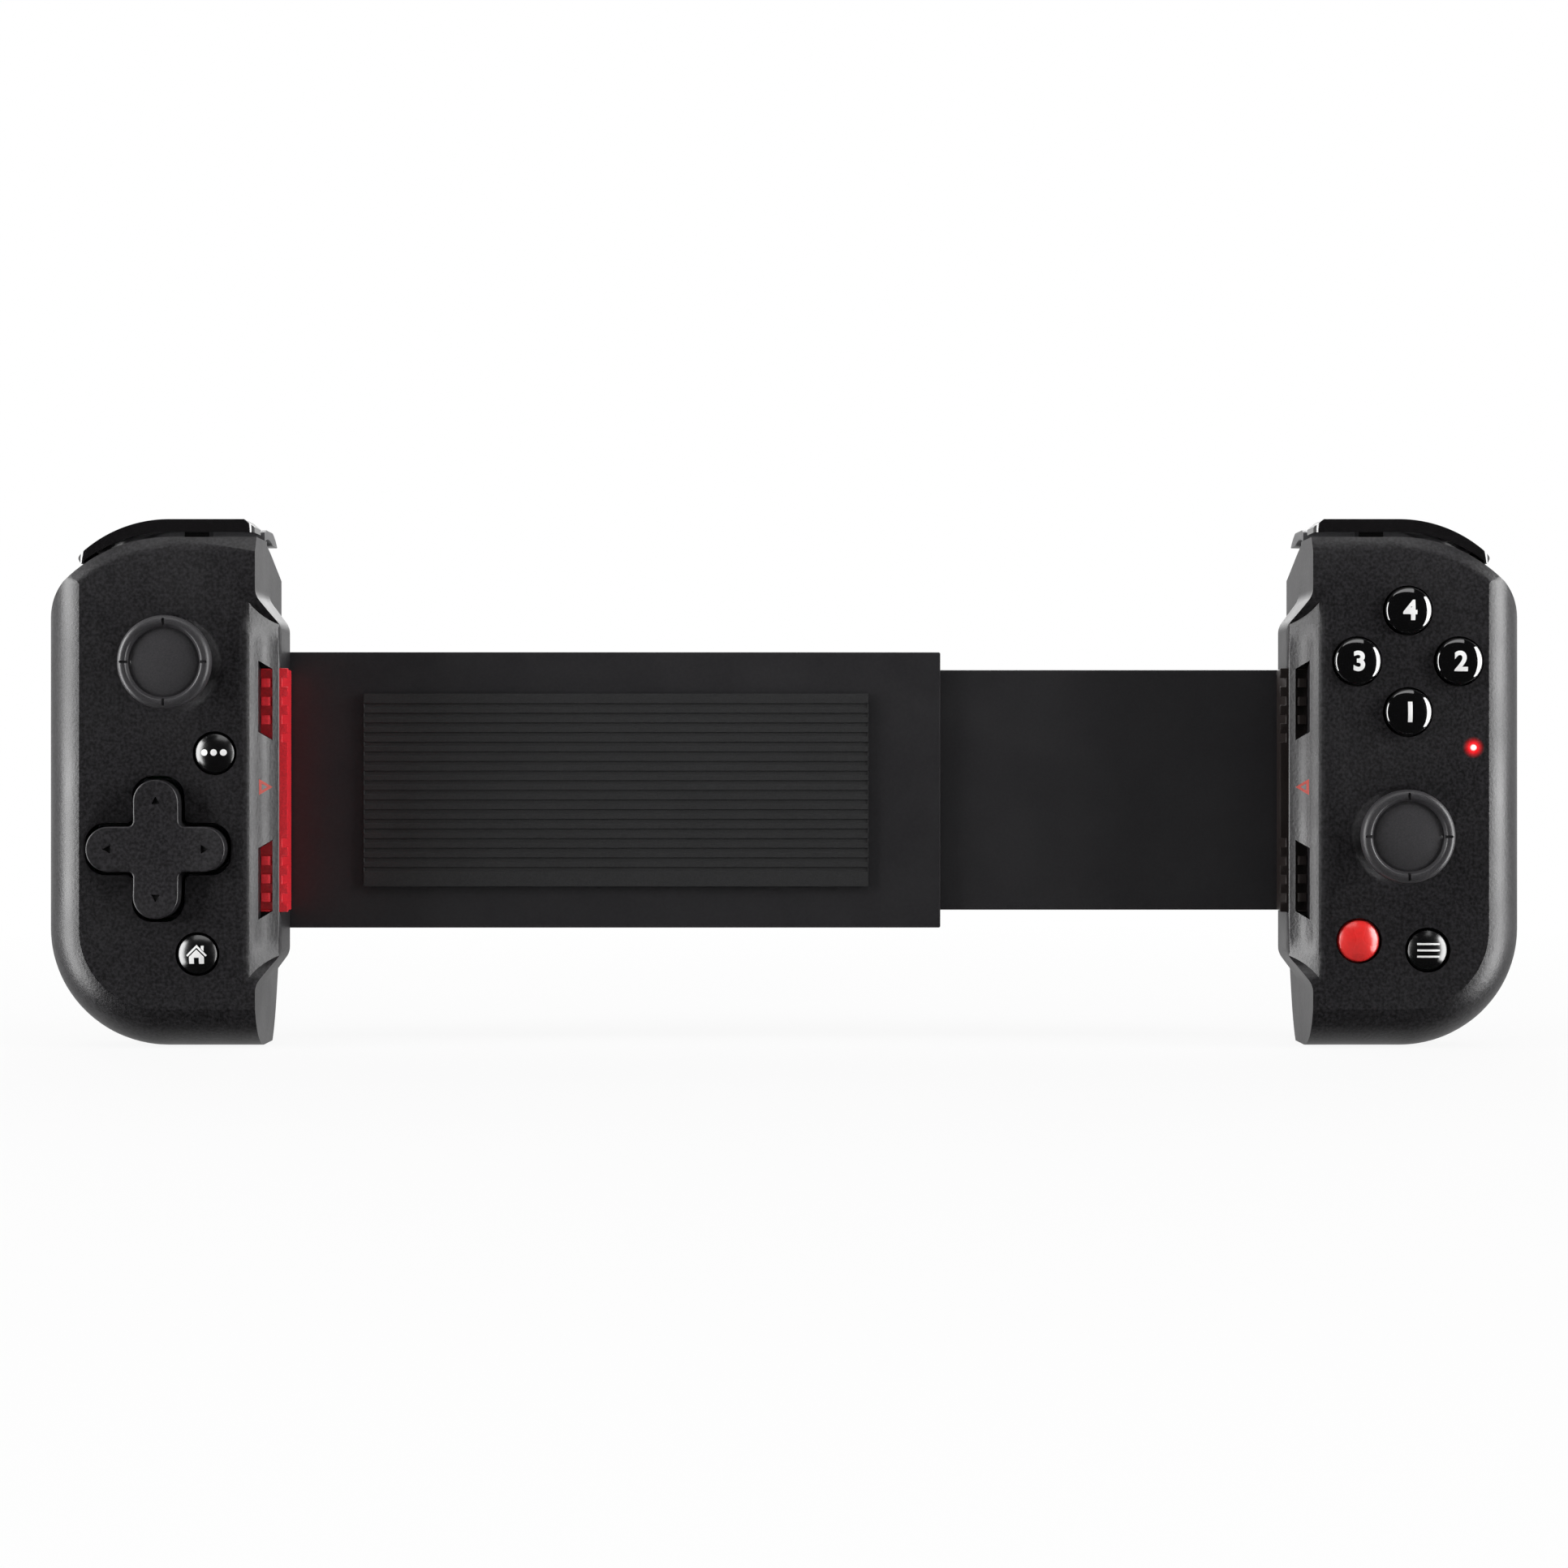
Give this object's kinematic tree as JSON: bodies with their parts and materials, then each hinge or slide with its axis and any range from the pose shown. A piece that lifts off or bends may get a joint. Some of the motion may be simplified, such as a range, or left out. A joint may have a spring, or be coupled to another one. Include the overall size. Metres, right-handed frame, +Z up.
{
  "type": "telescopic phone game controller",
  "caption": "Telescopic handheld game controller: two slim grips on a sliding bridge clamp a phone between red pads; thumb sticks, direction pad, buttons, bumpers and triggers all move.",
  "frame": {"origin": "centre of the bounding box's bottom face: midway between the grips at the pictured opening, on the plane of their flat feet", "axes": "+X to the viewer's right along the bridge, +Y away from the viewer into the deck, +Z up towards the bumpers"},
  "size_m": [0.2404, 0.0352, 0.0857],
  "materials": {
    "front_shell": "charcoal, fine matt texture",
    "rear_shell": "charcoal, fine matt texture",
    "trigger_plastic": "satin black",
    "red_rubber": "red silicone rubber, satin",
    "stick_rubber": "dark grey rubber, matt",
    "rest_rubber": "dark rubber, matt",
    "membrane": "translucent grey silicone rubber",
    "gloss_black": "piano black, polished",
    "satin_black": "black, satin",
    "d_pad_plastic": "near black, matt",
    "red_plastic": "coral red, satin",
    "light_guide": "clear red, lit",
    "bridge_plastic": "charcoal, matt",
    "inner_plastic": "black moulded plastic",
    "circuit_board": "green solder mask",
    "steel": "bright steel",
    "black_steel": "black oxide",
    "cell_wrap": "silver-grey pouch film",
    "flat_cable_film": "amber film"
  },
  "bodies": {
    "left_grip": {"left_front_shell": "front_shell", "left_rear_shell": "rear_shell", "left_phone_pad": "red_rubber", "left_shell_screws": "black_steel", "left_stick_housing": "inner_plastic", "left_stick_board": "circuit_board", "left_key_board": "circuit_board", "left_membranes": "membrane", "left_bumper_pin": "steel", "left_bumper_switch": "inner_plastic", "left_trigger_pin": "steel", "left_trigger_leaf": "steel", "d_pad_seat": "inner_plastic", "sleeve_front": "bridge_plastic", "sleeve_rear": "bridge_plastic", "back_rest_pad": "rest_rubber", "spring_pin": "steel", "spring_band": "steel", "flat_cable": "flat_cable_film"},
    "right_grip": {"right_front_shell": "front_shell", "right_rear_shell": "rear_shell", "right_phone_pad": "red_rubber", "right_shell_screws": "black_steel", "right_stick_housing": "inner_plastic", "right_stick_board": "circuit_board", "right_key_board": "circuit_board", "right_membranes": "membrane", "right_bumper_pin": "steel", "right_bumper_switch": "inner_plastic", "right_trigger_pin": "steel", "right_trigger_leaf": "steel", "bridge_tongue": "bridge_plastic", "charging_port": "steel", "charging_board": "circuit_board", "battery": "cell_wrap", "status_light": "light_guide"},
    "left_stick_yoke": {"left_stick_yoke": "inner_plastic"},
    "left_stick_core": {"left_stick_core": "inner_plastic"},
    "left_stick": {"left_stick_stem": "steel", "left_stick_cap": "stick_rubber"},
    "left_bumper": {"left_bumper": "gloss_black"},
    "left_trigger": {"left_trigger": "trigger_plastic"},
    "d_pad_pivot": {"d_pad_pivot": "inner_plastic"},
    "d_pad": {"d_pad": "d_pad_plastic"},
    "dots_button": {"dots_button": "satin_black"},
    "home_button": {"home_button": "satin_black"},
    "spring_drum": {"spring_drum": "inner_plastic"},
    "right_stick_yoke": {"right_stick_yoke": "inner_plastic"},
    "right_stick_core": {"right_stick_core": "inner_plastic"},
    "right_stick": {"right_stick_stem": "steel", "right_stick_cap": "stick_rubber"},
    "right_bumper": {"right_bumper": "gloss_black"},
    "right_trigger": {"right_trigger": "trigger_plastic"},
    "face_button_1": {"face_button_1": "gloss_black"},
    "face_button_2": {"face_button_2": "gloss_black"},
    "face_button_3": {"face_button_3": "gloss_black"},
    "face_button_4": {"face_button_4": "gloss_black"},
    "red_button": {"red_button": "red_plastic"},
    "menu_button": {"menu_button": "satin_black"}
  },
  "joints": [
    {"name": "telescope", "type": "slide", "parent": "left_grip", "child": "right_grip", "axis": [1, 0, 0], "range_m": [-0.045, 0.008], "deforming": ["spring_band", "flat_cable"]},
    {"name": "left_stick_up_down", "type": "hinge", "parent": "left_grip", "child": "left_stick_yoke", "pos_m": [-0.0989, -0.0026, 0.06227], "axis": [1, 0, 0], "range_deg": [-15, 15], "stiffness_Nm_per_rad": 0.03},
    {"name": "left_stick_left_right", "type": "hinge", "parent": "left_stick_yoke", "child": "left_stick_core", "pos_m": [-0.0989, -0.0026, 0.06227], "axis": [0, 0, 1], "range_deg": [-15, 15], "stiffness_Nm_per_rad": 0.03},
    {"name": "left_stick_click", "type": "slide", "parent": "left_stick_core", "child": "left_stick", "axis": [0, 1, 0], "range_m": [0, 0.0005], "stiffness_N_per_m": 3000},
    {"name": "left_bumper_press", "type": "hinge", "parent": "left_grip", "child": "left_bumper", "pos_m": [-0.1106, -0.00485, 0.07574], "axis": [0, 1, 0], "range_deg": [0, 1.6], "stiffness_Nm_per_rad": 1},
    {"name": "left_trigger_pull", "type": "hinge", "parent": "left_grip", "child": "left_trigger", "pos_m": [-0.0985, 0.003, 0.08], "axis": [1, 0, 0], "range_deg": [-12, 0], "stiffness_Nm_per_rad": 0.1, "deforming": ["left_trigger_leaf"]},
    {"name": "d_pad_up_down", "type": "hinge", "parent": "left_grip", "child": "d_pad_pivot", "pos_m": [-0.10106, -0.0035, 0.03229], "axis": [1, 0, 0], "range_deg": [-4, 4], "stiffness_Nm_per_rad": 0.3},
    {"name": "d_pad_left_right", "type": "hinge", "parent": "d_pad_pivot", "child": "d_pad", "pos_m": [-0.10106, -0.005, 0.03229], "axis": [0, 0, 1], "range_deg": [-4, 4], "stiffness_Nm_per_rad": 0.3},
    {"name": "dots_button_press", "type": "slide", "parent": "left_grip", "child": "dots_button", "axis": [0, 1, 0], "range_m": [0, 0.0007], "stiffness_N_per_m": 2000},
    {"name": "home_button_press", "type": "slide", "parent": "left_grip", "child": "home_button", "axis": [0, 1, 0], "range_m": [0, 0.0007], "stiffness_N_per_m": 2000},
    {"name": "drum_spin", "type": "hinge", "parent": "left_grip", "child": "spring_drum", "pos_m": [-0.096, 0.0044, 0.02481], "axis": [0, 0, 1], "range_deg": [-140, 760]},
    {"name": "right_stick_up_down", "type": "hinge", "parent": "right_grip", "child": "right_stick_yoke", "pos_m": [0.0996, -0.0026, 0.0344], "axis": [1, 0, 0], "range_deg": [-15, 15], "stiffness_Nm_per_rad": 0.03},
    {"name": "right_stick_left_right", "type": "hinge", "parent": "right_stick_yoke", "child": "right_stick_core", "pos_m": [0.0996, -0.0026, 0.0344], "axis": [0, 0, 1], "range_deg": [-15, 15], "stiffness_Nm_per_rad": 0.03},
    {"name": "right_stick_click", "type": "slide", "parent": "right_stick_core", "child": "right_stick", "axis": [0, 1, 0], "range_m": [0, 0.0005], "stiffness_N_per_m": 3000},
    {"name": "right_bumper_press", "type": "hinge", "parent": "right_grip", "child": "right_bumper", "pos_m": [0.1106, -0.00485, 0.07574], "axis": [0, 1, 0], "range_deg": [-1.6, 0], "stiffness_Nm_per_rad": 1},
    {"name": "right_trigger_pull", "type": "hinge", "parent": "right_grip", "child": "right_trigger", "pos_m": [0.0985, 0.003, 0.08], "axis": [1, 0, 0], "range_deg": [-12, 0], "stiffness_Nm_per_rad": 0.1, "deforming": ["right_trigger_leaf"]},
    {"name": "face_button_1_press", "type": "slide", "parent": "right_grip", "child": "face_button_1", "axis": [0, 1, 0], "range_m": [0, 0.001], "stiffness_N_per_m": 1500},
    {"name": "face_button_2_press", "type": "slide", "parent": "right_grip", "child": "face_button_2", "axis": [0, 1, 0], "range_m": [0, 0.001], "stiffness_N_per_m": 1500},
    {"name": "face_button_3_press", "type": "slide", "parent": "right_grip", "child": "face_button_3", "axis": [0, 1, 0], "range_m": [0, 0.001], "stiffness_N_per_m": 1500},
    {"name": "face_button_4_press", "type": "slide", "parent": "right_grip", "child": "face_button_4", "axis": [0, 1, 0], "range_m": [0, 0.001], "stiffness_N_per_m": 1500},
    {"name": "red_button_press", "type": "slide", "parent": "right_grip", "child": "red_button", "axis": [0, 1, 0], "range_m": [0, 0.0007], "stiffness_N_per_m": 2000},
    {"name": "menu_button_press", "type": "slide", "parent": "right_grip", "child": "menu_button", "axis": [0, 1, 0], "range_m": [0, 0.0007], "stiffness_N_per_m": 2000}
  ],
  "couplings": [
    {"joint": "drum_spin", "follows": "telescope", "rad_per_m": -289.86}
  ]
}
